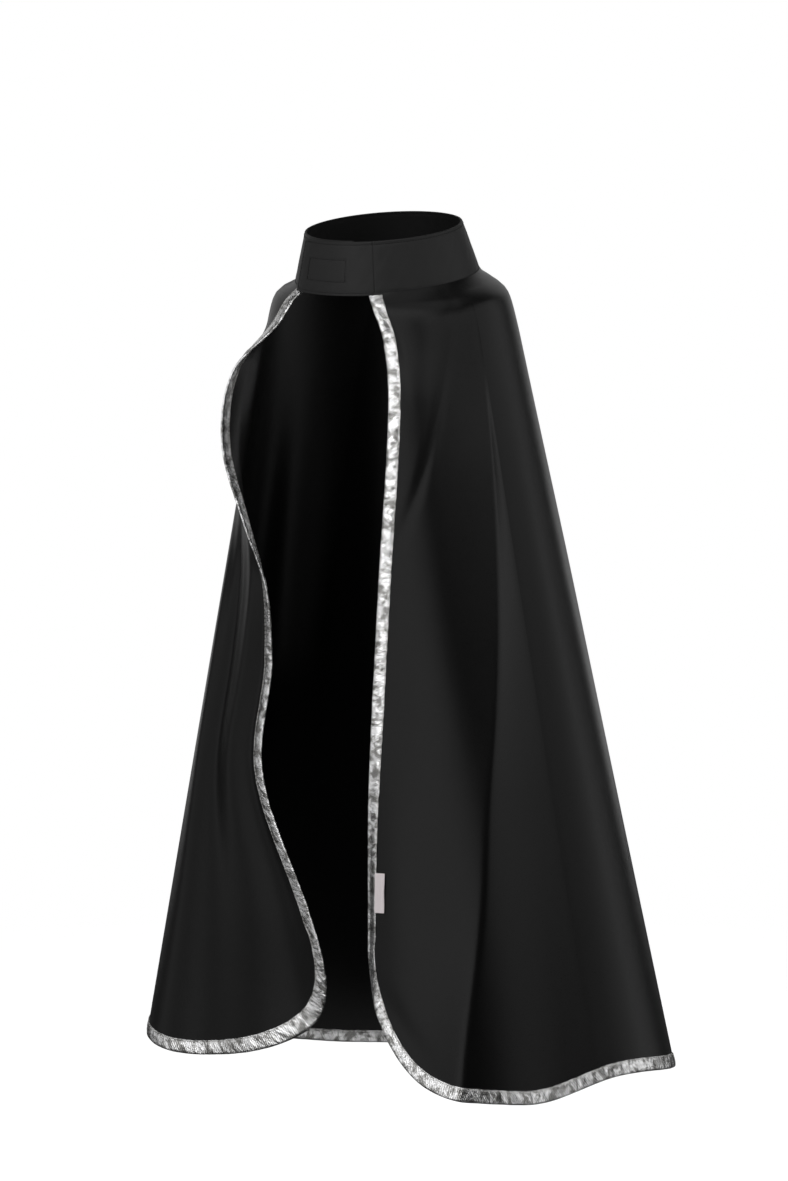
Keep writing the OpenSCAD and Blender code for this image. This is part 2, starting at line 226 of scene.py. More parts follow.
def crest(f, peak):
    """A fold's height over a front's width: a slow rise to its crest and a quicker fall."""
    rise = (np.maximum(f, 0) / peak) ** 2.5
    fall = (np.maximum(0, 1 - f) / np.maximum(0.01, 1 - peak)) ** 1.5
    return (rise + fall - np.sqrt((rise - fall) ** 2 + 0.015)) / 2


def plain(part, s, drop):
    """The part's own cloth: s is a share of a front's width, or an angle."""
    s, drop = np.broadcast_arrays(np.asarray(s, float), np.asarray(drop, float))
    if part == ROUND:
        return cone(signed(s), drop)
    pull = 1 - smooth(s / EDGE_PULL[part])
    at = drop / CAPE_LENGTH
    shift = np.stack([curve(EDGE_TABLE[part], 1, at), curve(EDGE_TABLE[part], 2, at),
                      np.zeros_like(at)], -1)
    p = cone(front_angle(part, s, drop), drop) + pull[..., None] * shift
    if part == RIGHT:
        curl = curve(RIGHT_CURL, 1, at) * np.maximum(0, 1 - s / CURL_SHARE) ** 2
        p = p + curl[..., None] * CURL_WAY
    else:
        fold = curve(LEFT_FOLD, 1, at) * crest(s, curve(LEFT_FOLD, 2, at))
        p = p + fold[..., None] * FOLD_WAY
    return p


def unit(v):
    return v / np.maximum(np.linalg.norm(v, axis=-1, keepdims=True), 1e-9)


def outward(surface, part, s, drop):
    """The surface's unit normal, away from the wearer."""
    ds = 0.5 if part == ROUND else part * 0.01
    p = surface(part, s, drop)
    along = surface(part, s + ds, drop) - p
    down = surface(part, s, drop + 1) - p
    return unit(np.cross(down, along))


# The right front's hanging folds: (share of the width at drops 200 and 560, half width of
# the fold as a share, height in mm)
RIGHT_FOLDS = [(0.50, 0.475, 0.05, 2.2), (0.36, 0.37, 0.05, -3.0), (0.21, 0.26, 0.055, 2.6),
               (0.10, 0.13, 0.045, -2.2)]
# Small creases on the left front: (share, drop, length, slope as share per mm, mm)
LEFT_CREASES = [(0.08, 30, 34, 0.002, -1.3), (0.43, 107, 75, -0.004, -1.5),
                (0.16, 540, 26, 0.004, -1.2)]


def relief(part, s, drop):
    """How far the hanging folds stand out of the plain cloth."""
    s, drop = np.broadcast_arrays(np.asarray(s, float), np.asarray(drop, float))
    if part == ROUND:
        inside = smooth((s - SIDE_ANGLE) / 14) * smooth((360 - SIDE_ANGLE - s) / 14)
        fade = smooth((drop - 60) / 200)
        return inside * fade * (0.9 * np.sin(np.radians(s * 13 + 0.03 * drop))
                                + 0.5 * np.sin(np.radians(s * 21 + 80)))
    ends = smooth(s / 0.06) * smooth((1 - s) / 0.08)
    out = np.zeros_like(s)
    if part == RIGHT:
        t = (drop - 200) / 360
        for high, low, half, mm in RIGHT_FOLDS:
            out = out + mm * hump(s, lerp(high, low, t), half * (0.8 + 0.4 * np.clip(t, 0, 1)))
        out = out * smooth((drop - 110) / 170)
    else:
        for share, at, length, slope, mm in LEFT_CREASES:
            out = out + mm * hump(s - slope * (drop - at), share, 0.06) * hump(drop, at, length)
        out = out + 9 * hump(s, 0.15, 0.22) * smooth((drop - 300) / 180)
    return out * ends


def cloth(part, s, drop):
    """The middle of the cloth as it is seen, with its hanging folds."""
    s, drop = np.broadcast_arrays(np.asarray(s, float), np.asarray(drop, float))
    p = plain(part, s, drop)
    return p + relief(part, s, drop)[..., None] * outward(plain, part, s, drop)


def cloth_off(part, s, drop, off):
    p = cloth(part, s, drop)
    return p + np.asarray(off, float)[..., None] * outward(cloth, part, s, drop)


# ---- places along a front's free edge ----

def share_w(side, drop):
    """Width in mm that a whole share covers, next to the free edge."""
    gap = plain(side, 0.02, drop) - plain(side, 0.0, drop)
    return np.linalg.norm(gap, axis=-1) / 0.02


HEM_SHARE = {side: float(share_w(side, CAPE_LENGTH)) for side in (LEFT, RIGHT)}


def hem_of(side, f):
    """The hem's drop at a share of a front's width."""
    return hem_drop(front_angle(side, f, CAPE_LENGTH))


# ---- meshes ----

def new_piece(name, points, faces, uvs=None, sharp_rim=False):
    """A mesh from points in mm. uvs, where given, is one pair in mm for each point."""
    mesh = bpy.data.meshes.new(name)
    mesh.from_pydata((np.asarray(points, float) * MM).tolist(), [], faces)
    mesh.validate()
    if uvs is not None:
        layer = mesh.uv_layers.new(name="UVMap")
        loops = np.zeros(len(mesh.loops), np.int32)
        mesh.loops.foreach_get("vertex_index", loops)
        flat = (np.asarray(uvs, float)[loops] * MM).astype(np.float32)
        layer.data.foreach_set("uv", flat.ravel())
    # End caps stay flat, so that they don't bend the shading of the faces round them
    mesh.polygons.foreach_set("use_smooth", [len(face.vertices) <= 4 for face in mesh.polygons])
    if sharp_rim:
        uses = {}
        for face in mesh.polygons:
            for key in face.edge_keys:
                uses[key] = uses.get(key, 0) + 1
        for e in mesh.edges:
            e.use_edge_sharp = uses.get(e.key, 0) < 2
    mesh.update()
    piece = bpy.data.objects.new(name, mesh)
    bpy.context.scene.collection.objects.link(piece)
    return piece


def grid_faces(nu, nv, wrap_v=False, base=0):
    """Quads of a grid of nu by nv points, v running fastest."""
    faces = []
    for i in range(nu - 1):
        for j in range(nv if wrap_v else nv - 1):
            k = (j + 1) % nv
            faces.append((base + i * nv + j, base + (i + 1) * nv + j,
                          base + (i + 1) * nv + k, base + i * nv + k))
    return faces


def solidify(piece, thickness):
    """Thickens a sheet evenly about its middle, in mm."""
    made = piece.modifiers.new("thickness", "SOLIDIFY")
    made.thickness = thickness * MM
    made.offset = 0
    return piece


# ---- materials ----

def material(name, base, roughness, metallic=0.0, **sockets):
    made = bpy.data.materials.new(name)
    made.use_nodes = True
    shader = made.node_tree.nodes["Principled BSDF"]
    shader.inputs["Base Color"].default_value = (*base, 1)
    shader.inputs["Roughness"].default_value = roughness
    shader.inputs["Metallic"].default_value = metallic
    for socket, value in sockets.items():
        shader.inputs[socket.replace("_", " ")].default_value = value
    return made


class Nodes:
    """Adds nodes to a material and joins them."""

    def __init__(self, made):
        self.tree = made.node_tree
        self.shader = self.tree.nodes["Principled BSDF"]

    def add(self, kind, **inputs):
        node = self.tree.nodes.new(kind)
        for name, value in inputs.items():
            self.put(node.inputs[name.replace("_", " ")], value)
        return node

    def put(self, socket, value):
        if isinstance(value, bpy.types.NodeSocket):
            self.tree.links.new(value, socket)
        else:
            socket.default_value = value

    def place(self, scale, source="UV"):
        """Coordinates in metres, times a scale: along the mesh's UV or in the object."""
        coords = self.add("ShaderNodeTexCoord")
        mapping = self.add("ShaderNodeMapping", Vector=coords.outputs[source])
        mapping.inputs["Scale"].default_value = scale
        return mapping.outputs["Vector"]

    def noise(self, where, scale, detail=2.0, roughness=0.5):
        node = self.add("ShaderNodeTexNoise", Vector=where, Scale=scale, Detail=detail,
                        Roughness=roughness)
        return node.outputs["Fac"]

    def wave(self, where, scale, direction="X", distortion=0.0):
        node = self.add("ShaderNodeTexWave", Vector=where, Scale=scale, Distortion=distortion)
        node.bands_direction = direction
        return node.outputs["Fac"]

    def math(self, operation, a, b=0.0):
        node = self.tree.nodes.new("ShaderNodeMath")
        node.operation = operation
        self.put(node.inputs[0], a)
        self.put(node.inputs[1], b)
        return node.outputs[0]

    def scaled(self, value, low, high, to_low, to_high):
        node = self.add("ShaderNodeMapRange", Value=value)
        for name, number in (("From Min", low), ("From Max", high), ("To Min", to_low),
                             ("To Max", to_high)):
            node.inputs[name].default_value = number
        return node.outputs["Result"]

    def ramp(self, value, stops):
        node = self.add("ShaderNodeValToRGB", Fac=value)
        node.color_ramp.elements[0].position, node.color_ramp.elements[1].position = (
            stops[0][0], stops[-1][0])
        node.color_ramp.elements[0].color = (*stops[0][1], 1)
        node.color_ramp.elements[1].color = (*stops[-1][1], 1)
        for at, colour in stops[1:-1]:
            node.color_ramp.elements.new(at).color = (*colour, 1)
        return node.outputs["Color"]

    def bump(self, height, distance_mm, strength=1.0, below=None):
        node = self.add("ShaderNodeBump", Height=height, Strength=strength,
                        Distance=distance_mm * MM)
        if below is not None:
            self.put(node.inputs["Normal"], below)
        self.put(self.shader.inputs["Normal"], node.outputs["Normal"])
        return node.outputs["Normal"]


def grey(v):
    return (v, v, v)


def crepe(name, pitch_mm=0.45, base=0.003, rough=0.31, specular=0.2):
    """Black crepe: a fine irregular weave with a faint satin sheen."""
    made = material(name, grey(base), rough, Specular_IOR_Level=specular)
    n = Nodes(made)
    threads = n.place((1 / pitch_mm / MM, 1 / pitch_mm / MM, 1))
    warp = n.wave(threads, 0.318, "X", 1.2)
    weft = n.wave(threads, 0.318, "Y", 1.2)
    crinkle = n.noise(threads, 0.55, 3.0, 0.6)
    weave = n.math("MULTIPLY", warp, weft)
    height = n.math("ADD", n.math("MULTIPLY", weave, 0.6), n.math("MULTIPLY", crinkle, 0.7))
    soft = n.noise(n.place((1, 1, 1), "Object"), 38.0, 3.0, 0.5)
    below = n.bump(soft, 0.35, 0.35)
    n.bump(height, 0.06, 0.55, below)
    tone = n.noise(n.place((1, 1, 1), "Object"), 9.0, 3.0)
    mixed = n.math("ADD", n.math("MULTIPLY", tone, 0.6), n.math("MULTIPLY", crinkle, 0.4))
    colour = n.ramp(mixed, [(0.3, grey(base * 0.72)), (0.7, grey(base * 1.35))])
    n.put(n.shader.inputs["Base Color"], colour)
    n.put(n.shader.inputs["Roughness"], n.scaled(crinkle, 0.3, 0.7, rough - 0.05, rough + 0.06))
    return made


def lame(name):
    """Silver lame tape: a bright twill, with darker and warmer marks of painted shade that stand
    for its creases.
    """
    made = material(name, grey(0.8), 0.24, 1.0)
    n = Nodes(made)
    along = n.place((1 / MM, 1 / MM, 1))
    slanted = n.place((1 / MM, 1 / MM, 1))
    slanted.node.inputs["Rotation"].default_value = (0, 0, math.radians(38))
    twill = n.wave(slanted, 0.23, "X", 0.6)
    skewed = n.place((0.16 / MM, 0.09 / MM, 1))
    skewed.node.inputs["Rotation"].default_value = (0, 0, math.radians(-28))
    creases = n.noise(skewed, 1.0, 4.0, 0.62)
    grain = n.noise(along, 1.6, 2.0)
    below = n.bump(creases, 2.2, 0.9)
    height = n.math("ADD", n.math("MULTIPLY", twill, 0.8), n.math("MULTIPLY", grain, 0.5))
    n.bump(height, 0.13, 0.9, below)
    tone = n.noise(along, 0.12, 4.0, 0.68)
    # The base colour is darker in random places, as painted shade for the creases, and along the
    # twill, which is the tape's own pattern
    painted_crease_shade = n.scaled(tone, 0.41, 0.57, 0, 1)
    twill_and_painted_shade = n.math("ADD", n.math("MULTIPLY", painted_crease_shade, 0.6), n.math("MULTIPLY", twill, 0.4))
    colour = n.ramp(twill_and_painted_shade, [(0.10, (0.14, 0.138, 0.132)), (0.42, (0.52, 0.515, 0.50)),
                              (0.62, (0.97, 0.97, 0.975))])
    n.put(n.shader.inputs["Base Color"], colour)
    n.put(n.shader.inputs["Roughness"], n.scaled(grain, 0.3, 0.7, 0.14, 0.3))
    return made


def thread(name, base, rough):
    """Sewing thread, twisted along its length."""
    made = material(name, base, rough, Sheen_Weight=0.02)
    n = Nodes(made)
    slanted = n.place((1 / MM, 1 / MM, 1 / MM), "Object")
    slanted.node.inputs["Rotation"].default_value = (0.4, 0.7, 0.6)
    ply = n.wave(slanted, 0.9, "X", 0.4)
    n.bump(ply, 0.08, 0.6)
    # The base colour is darker in the grooves of the twist: painted shade
    n.put(n.shader.inputs["Base Color"],
          n.ramp(ply, [(0.1, tuple(0.7 * c for c in base)), (0.8, tuple(base))]))
    return made


def woven(name, base, pitch_mm, rough, edge=0.8, sheen=0.3, wild=0.0):
    """Ribbon, tape or interlining: a plain weave, or a felt of short fibres."""
    made = material(name, base, rough, Sheen_Weight=sheen, Sheen_Roughness=0.4)
    n = Nodes(made)
    where = n.place((1 / pitch_mm / MM,) * 3, "Object")
    warp = n.wave(where, 0.318, "X", wild)
    weft = n.wave(where, 0.318, "Z", wild)
    fluff = n.noise(where, 0.9, 4.0, 0.65)
    height = n.math("ADD", n.math("MULTIPLY", warp, weft), fluff)
    n.bump(height, 0.12 * pitch_mm, 0.6)
    n.put(n.shader.inputs["Base Color"],
          n.ramp(fluff, [(0.3, tuple(edge * c for c in base)), (0.7, tuple(base))]))
    return made


CREPE = crepe("black_crepe")
# The collar's copy of the same crepe has a base colour over three times lighter: painted light on
# the collar
COLLAR_CREPE_PAINTED_LIGHT = crepe("black_crepe_collar_painted_light", 0.45, 0.010, 0.5, 0.25)
LAME = lame("silver_lame")
BLACK_THREAD = thread("black_thread", (0.003, 0.003, 0.0032), 0.85)
SILVER_THREAD = thread("silver_thread", (0.62, 0.61, 0.59), 0.4)
INTERLINING = woven("interlining", (0.85, 0.85, 0.84), 0.8, 0.85, 0.9, 0.2, 6.0)
HOOK_TAPE = woven("hook_tape", (0.03, 0.03, 0.032), 0.7, 0.5, 0.6, 0.1)
LOOP_TAPE = woven("loop_tape", (0.026, 0.026, 0.028), 0.6, 0.8, 0.5, 0.6, 8.0)
RIBBON = woven("label_ribbon", (0.88, 0.8, 0.815), 0.32, 0.42, 0.9, 0.3)
SATIN = woven("care_satin", (0.88, 0.88, 0.87), 0.3, 0.38, 0.93, 0.3)


def dress(piece, made):
    """Gives a piece its material."""
    piece.data.materials.clear()
    piece.data.materials.append(made)
    return piece


# ---- the cloth ----


def follow(piece, part):
    """Rides the back; a front's piece only has its place baked into its mesh."""
    if part == ROUND:
        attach(piece, "cape")
    else:
        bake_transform(piece)


def row_width(part, drop):
    """Width in mm of the cloth's row at a drop, from a front's edge to its side line."""
    shares = np.linspace(0, 1, 60)
    table = []
    for d in np.linspace(SEAM_GAP, 670, 24):
        p = plain(part, shares, np.full_like(shares, d))
        table.append((d, np.linalg.norm(np.diff(p, axis=0), axis=1).sum()))
    table = np.array(table)
    return np.interp(drop, table[:, 0], table[:, 1])


CLOTH_STEP = 3.4
CLOTH_SEEN_T = 0.5
BACK_GRID = (236, 190)
BACK_HEM_LENGTH = 730
BINDING_STEP = 1.25


def make_back():
    nu, nv = BACK_GRID
    a = np.linspace(SIDE_ANGLE, 360 - SIDE_ANGLE, nu)[:, None]
    v = np.linspace(0, 1, nv)[None, :]
    drop = lerp(SEAM_TOP, hem_drop(signed(a)), v)
    a, drop = np.broadcast_arrays(a, drop)
    p = cloth(ROUND, a, drop)
    steps = np.linalg.norm(np.diff(p, axis=0), axis=-1)
    across = np.concatenate([np.zeros((1, nv)), np.cumsum(steps, axis=0)])
    uvs = np.stack([across, drop], -1).reshape(-1, 2)
    return new_piece("cloth_back", p.reshape(-1, 3), grid_faces(nu, nv), uvs, sharp_rim=True)


class FreeEdge:
    """Stations down a front's free edge, round its corner and along its hem."""

    def __init__(self, part, step, top=SEAM_GAP):
        self.part = part
        if part == ROUND:
            n = math.ceil(BACK_HEM_LENGTH / step)
            self.angles = np.linspace(SIDE_ANGLE, 360 - SIDE_ANGLE, n)
            self.corner_at = 0
        else:
            low = float(hem_of(part, 0.0)) - CORNER_R
            self.drops = np.linspace(top, low - 4, math.ceil((low - top) / step))
            self.turns = np.linspace(2, 90, math.ceil(CORNER_R * math.pi / 2 / step))
            r0 = CORNER_R / HEM_SHARE[part]
            n = max(4, math.ceil((1 - r0) * HEM_SHARE[part] * 1.3 / step))
            self.shares = np.linspace(r0, 1, n + 1)[1:]
            self.corner_at = len(self.drops)
        p = cloth(part, *self.at(0.0))
        self.along = np.concatenate([[0], np.cumsum(
            np.linalg.norm(np.diff(p, axis=0), axis=-1))])
        self.n = len(self.along)

    def at(self, u):
        """The places u mm in from the edge, as shares or angles, and drops."""
        if self.part == ROUND:
            u = np.broadcast_to(np.asarray(u, float), self.angles.shape)
            return self.angles, hem_drop(signed(self.angles)) - u
        n1, n2 = len(self.drops), len(self.turns)
        u = np.broadcast_to(np.asarray(u, float), (n1 + n2 + len(self.shares),))
        u1, u2, u3 = u[:n1], u[n1:n1 + n2], u[n1 + n2:]
        r = CORNER_R - u2
        f2 = (CORNER_R - r * cos_deg(self.turns)) / HEM_SHARE[self.part]
        d2 = hem_of(self.part, f2) - CORNER_R + r * sin_deg(self.turns)
        return (np.concatenate([u1 / share_w(self.part, self.drops), f2, self.shares]),
                np.concatenate([self.drops, d2, hem_of(self.part, self.shares) - u3]))

    def points(self, u, off):
        s, drop = self.at(u)
        return cloth_off(self.part, s, drop, np.broadcast_to(off, s.shape))


def make_front(side, name):
    """A front's cloth: an even grid inside the binding, and two rows under the binding."""
    edge = FreeEdge(side, CLOTH_STEP, SEAM_TOP)
    f_in, d_in = edge.at(BINDING_W)
    nr = edge.corner_at
    nc = edge.n - nr + 1
    top, low = d_in[0], d_in[nr - 1]
    v = ((d_in[:nr] - top) / (low - top))[None, :]
    even = np.linspace(0, 1, nc)[:, None]
    end = ((f_in[nr - 1:] - f_in[nr - 1]) / (1 - f_in[nr - 1]))[:, None]
    f = lerp(f_in[None, :nr], 1, lerp(even, end, v**3))
    drop = lerp(top, d_in[nr - 1:][:, None], v)
    s, d = [f.ravel()], [drop.ravel()]
    faces = grid_faces(nc, nr)
    inside = np.concatenate([np.arange(nr), (np.arange(1, nc)) * nr + nr - 1])
    base = nc * nr
    for u in (BINDING_W / 2, 0.0):
        fu, du = edge.at(u)
        s.append(fu)
        d.append(du)
        rim = base + np.arange(edge.n)
        faces += [(int(rim[k]), int(inside[k]), int(inside[k + 1]), int(rim[k + 1]))
                  for k in range(edge.n - 1)]
        inside, base = rim, base + edge.n
    s, d = np.concatenate(s), np.concatenate(d)
    if side == RIGHT:
        faces = [q[::-1] for q in faces]
    uvs = np.stack([(1 - s) * row_width(side, d), d], -1)
    return new_piece(name, cloth(side, s, d), faces, uvs, sharp_rim=True)


cloth_back = make_back()
cloth_left = make_front(LEFT, "cloth_left_front")
cloth_right = make_front(RIGHT, "cloth_right_front")
for piece, part, nodes in (
        (cloth_back, ROUND, ("cape_yoke", "cape_back")),
        (cloth_left, LEFT, ("cape_left_front",)),
        (cloth_right, RIGHT, ("cape_right_front",))):
    solidify(piece, CLOTH_SEEN_T)
    dress(piece, CREPE)
    follow(piece, part)
    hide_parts(*nodes)


# ---- the binding ----

# Half of its U section: in from the edge, and out from the cloth's middle, mm. The last
# number is how far the puckers lift that point.
U_HALF = [(10.0, 0.5, 0.0), (9.95, 0.86, 0.15), (9.6, 0.98, 0.25), (9.0, 0.84, 0.05),
          (8.3, 0.9, 0.3), (7.2, 1.05, 0.8), (5.9, 1.12, 1.0), (4.6, 1.15, 1.0),
          (3.3, 1.12, 1.0), (2.0, 1.08, 0.8), (0.8, 0.98, 0.6), (-0.1, 0.72, 0.4),
          (-0.62, 0.3, 0.2)]
# The inside of the section, against the cloth: in from the edge, and out from the middle
U_INSIDE = [(9.95, -0.4), (0.6, -0.4), (0.6, 0.4), (9.95, 0.4)]
STITCH_U = 9.0
STITCH_PITCH = 3.2
STITCH_HALF = 1.15


def pucker(edge, u, face):
    """Height of the gathers in mm: short slanting waves that come and go."""
    x = edge.along + 0.9 * u * face
    seed = {LEFT: 11, RIGHT: 23, ROUND: 37}[edge.part] + (0 if face > 0 else 100)
    strong = 0.55 + 0.45 * waves(edge.along, seed + 5, (60, 130), 3)
    return (0.62 * strong * waves(x, seed, (7, 17), 6)
            + 0.20 * waves(x - 1.7 * u, seed + 1, (3.5, 6), 4))


def make_binding(part, name):
    """The tape folded over an edge, gathered a little along its stitching."""
    edge = FreeEdge(part, BINDING_STEP)
    wobble = 0.22 * waves(edge.along, 3 + part, (9, 30), 5)
    loops = []
    for face in (1, -1):
        half = []
        for u, off, lift in U_HALF:
            tuck = 0.10 * np.cos(2 * math.pi * edge.along / STITCH_PITCH) * hump(u, STITCH_U, 0.9)
            height = off + lift * pucker(edge, u, face) + tuck
            shift = wobble * (1 if u > 8 else 0.4)
            half.append(edge.points(u + shift, face * height))
        loops.append(half)
    inner = [edge.points(u, off) for u, off in U_INSIDE]
    section = loops[0] + loops[1][::-1] + inner
    p = np.stack(section, 1)
    nv = p.shape[1]
    uvs = np.stack([np.repeat(edge.along, nv), np.tile(np.arange(nv), edge.n)], -1)
    faces = grid_faces(edge.n, nv, wrap_v=True)
    if part != RIGHT:
        faces = [q[::-1] for q in faces]
    return new_piece(name, p.reshape(-1, 3), faces, uvs), edge


def capsules(starts, ends, up, width, height):
    """Short raised stitches from starts to ends, as points and faces."""
    points, faces = [], []
    stations = ((0.0, 0.35), (0.12, 0.8), (0.5, 1.0), (0.88, 0.8), (1.0, 0.35))
    ring = [(math.cos(t), math.sin(t)) for t in np.radians([0, 60, 120, 180, 240, 300])]
    nv = len(ring)
    along = unit(ends - starts)
    side = unit(np.cross(up, along))
    for at, size in stations:
        middle = lerp(starts, ends, at) + up * (height * 0.25 * (1 - (2 * at - 1) ** 2))
        for c, s in ring:
            points.append(middle + side * (c * size * width / 2) + up * (s * size * height / 2))
    block = np.stack(points, 1)
    count, per = block.shape[:2]
    for k in range(count):
        base = k * per
        faces += grid_faces(len(stations), nv, wrap_v=True, base=base)
        faces.append(tuple(base + j for j in range(nv)))
        faces.append(tuple(base + per - 1 - j for j in range(nv)))
    return block.reshape(-1, 3), faces


def make_edge_stitches(edge, name):
    """A line of stitches on each face of a binding, near its inner edge."""
    at = np.arange(2.0, edge.along[-1] - 2, STITCH_PITCH)
    pieces, faces = [], []
    for face in (1, -1):
        line = edge.points(STITCH_U, np.full(edge.n, face * 0.9))
        under = edge.points(STITCH_U, np.full(edge.n, 0.0))
        up_line = unit(line - under)

        def along(table, x):
            return np.stack([np.interp(x, edge.along, table[:, k]) for k in range(3)], -1)

        p, f = capsules(along(line, at - STITCH_HALF), along(line, at + STITCH_HALF),
                        unit(along(up_line, at)), 0.5, 0.4)
        faces += [tuple(i + sum(len(q) for q in pieces) for i in q) for q in f]
        pieces.append(p)
    return new_piece(name, np.concatenate(pieces), faces)


BINDINGS = {}
for part, name, nodes in (
        (LEFT, "binding_left", ("binding_left_top", "binding_left_front")),
        (RIGHT, "binding_right", ("binding_right_top", "binding_right_front")),
        (ROUND, "binding_back", ("binding_back_hem",))):
    piece, edge = make_binding(part, name)
    dress(piece, LAME)
    follow(piece, part)
    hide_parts(*nodes)
    seam = make_edge_stitches(edge, name + "_stitches")
    dress(seam, SILVER_THREAD)
    follow(seam, part)
    BINDINGS[part] = (piece, seam, edge)


# ---- the collar ----

STITCH_IN = 2.2
FOLD_TURN = EDGE_ANGLE + 3
TURN_END = 360 + UNDERLAP_REACH
PER_TURN = NECK_R * math.pi / 180
PATCH_END = UNDERLAP_REACH - 3
PATCH_LOW = (COLLAR_H - PATCH_H) / 2 - 1.5
# The box of stitching round the hook tape: from turn, to turn, from height, to height
BOX = (PATCH_END - PATCH_ANGLE + 1, PATCH_END - 1, PATCH_LOW + 0.9, PATCH_LOW + PATCH_H - 0.9)


def stitch_groove(turn, h, flap):
    """How deep the stitching pulls the collar's face in."""
    depth = hump(h, STITCH_IN, 0.9) + hump(h, COLLAR_H - STITCH_IN, 0.9)
    if flap:
        inset = (turn + FLAP_REACH) * PER_TURN
        depth = depth + hump(inset, STITCH_IN, 0.9)
        a0, a1, h0, h1 = BOX
        x, x0, x1 = turn * PER_TURN, a0 * PER_TURN, a1 * PER_TURN
        over = (h > h0 - 1) & (h < h1 + 1)
        wide = (x > x0 - 1) & (x < x1 + 1)
        depth = depth + np.where(over, hump(x, x0, 0.9) + hump(x, x1, 0.9), 0)
        depth = depth + np.where(wide, hump(h, h0, 0.9) + hump(h, h1, 0.9), 0)
    return 0.24 * np.clip(depth, 0, 1.2)


def wrinkles(turn, h, flap):
    """Soft and fine unevenness of the collar's face, in mm."""
    x = turn * PER_TURN
    soft = 0.30 * waves(x + 0.25 * h, 71, (28, 60), 4) * smooth(h / 8) * smooth((COLLAR_H - h) / 8)
    fine = 0.10 * waves(x - 0.8 * h, 72, (9, 18), 4) * smooth(h / 5) * smooth((COLLAR_H - h) / 5)
    if flap:
        fine = fine + 0.18 * waves(x + 0.5 * h, 73, (8, 15), 3) * hump(h, 6, 4) * smooth(
            (x + 20) / 20)
    return soft + fine


def collar_ply(turn0, turn1, step, face, name, flap):
    """One ply of the collar, turned in along its edges. face is 1 outside, -1 inside."""
    n = math.ceil((turn1 - turn0) * PER_TURN / step)
    turns = np.linspace(turn0, turn1, n + 1)
    inner_off = STIFFENER_T / 2 + 0.02
    hs = np.concatenate([[0.15, 0.0, 0.1], np.linspace(0.5, COLLAR_H - 0.5, 44),
                         [COLLAR_H - 0.1, COLLAR_H, COLLAR_H - 0.15]])
    rounded = np.concatenate([[0.06, 0.45, 0.8], np.ones(44), [0.8, 0.45, 0.06]])
    back = np.array([COLLAR_H - 0.6, COLLAR_H * 0.5, 0.6])
    free = []
    if turn0 == -FLAP_REACH:
        free.append((turns - turn0) * PER_TURN)
    if turn1 == TURN_END:
        free.append((turn1 - turns) * PER_TURN)
    end = np.ones_like(turns)
    for inset in free:
        end = np.minimum(end, np.sqrt(np.clip(1 - (1 - np.clip(inset / 1.1, 0, 1)) ** 2, 0, 1)))
    T, H = np.meshgrid(turns, hs, indexing="ij")
    off = FACE_OFF * rounded[None, :] * (0.08 + 0.92 * end[:, None])
    detail = wrinkles(T, H, flap) if face > 0 else 0.5 * wrinkles(T, H, False)
    detail = detail * (rounded[None, :] > 0.99)
    shape = face * off + detail - face * stitch_groove(T, H, flap) * (rounded[None, :] > 0.99)
    outer = band(T, H, shape)
    T2, H2 = np.meshgrid(turns, back, indexing="ij")
    inner = band(T2, H2, face * inner_off * (0.25 + 0.75 * end[:, None]))
    p = np.concatenate([outer, inner], 1)
    nu, nv = p.shape[:2]
    faces = grid_faces(nu, nv, wrap_v=True)
    faces.append(tuple(range(nv)))
    faces.append(tuple((nu - 1) * nv + nv - 1 - j for j in range(nv)))
    if face < 0:
        faces = [q[::-1] for q in faces]
    height = np.concatenate([H, H2 + 50], 1)
    uvs = np.stack([np.repeat(turns * PER_TURN, nv), height.ravel()], -1)
    piece = new_piece(name, p.reshape(-1, 3), faces, uvs)
    dress(piece, COLLAR_CREPE_PAINTED_LIGHT)
    return piece


def fold_over(piece):
    """Bakes into its mesh the place of a piece on the flap, which lies across the fold at the left
    front edge.
    """
    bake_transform(piece)


collar_outer = collar_ply(FOLD_TURN, TURN_END, 1.5, 1, "collar_outer_ply", False)
collar_inner = collar_ply(FOLD_TURN, TURN_END, 1.5, -1, "collar_inner_ply", False)
flap_outer = collar_ply(-FLAP_REACH, FOLD_TURN, 0.8, 1, "flap_outer_ply", True)
flap_inner = collar_ply(-FLAP_REACH, FOLD_TURN, 0.8, -1, "flap_inner_ply", True)
for piece, node in ((collar_outer, "collar_outer"), (collar_inner, "collar_inner")):
    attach(piece, "cape")
    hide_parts(node)
for piece, node in ((flap_outer, "flap_outer"), (flap_inner, "flap_inner")):
    fold_over(piece)
    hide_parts(node)


def band_stitches(lines, face_off, name):
    """Stitches on the collar's face along lines of (turn, h, turn, h)."""
    starts, ends, ups = [], [], []
    pitch, length = 2.7, 2.0
    for t0, h0, t1, h1 in lines:
        total = math.hypot((t1 - t0) * PER_TURN, h1 - h0)
        n = max(1, round(total / pitch))
        for k in range(n):
            mid = (k + 0.5) / n
            half = length / total / 2
            ends_at = [(lerp(t0, t1, mid + s * half), lerp(h0, h1, mid + s * half))
                       for s in (-1, 1)]
            a, b = (band(t, h, face_off) for t, h in ends_at)
            starts.append(a)
            ends.append(b)
            tm, hm = lerp(t0, t1, mid), lerp(h0, h1, mid)
            ups.append(unit(band(tm, hm, face_off + 1) - band(tm, hm, face_off)))
    p, faces = capsules(np.array(starts), np.array(ends), np.array(ups), 0.7, 0.42)
    return dress(new_piece(name, p, faces), BLACK_THREAD)


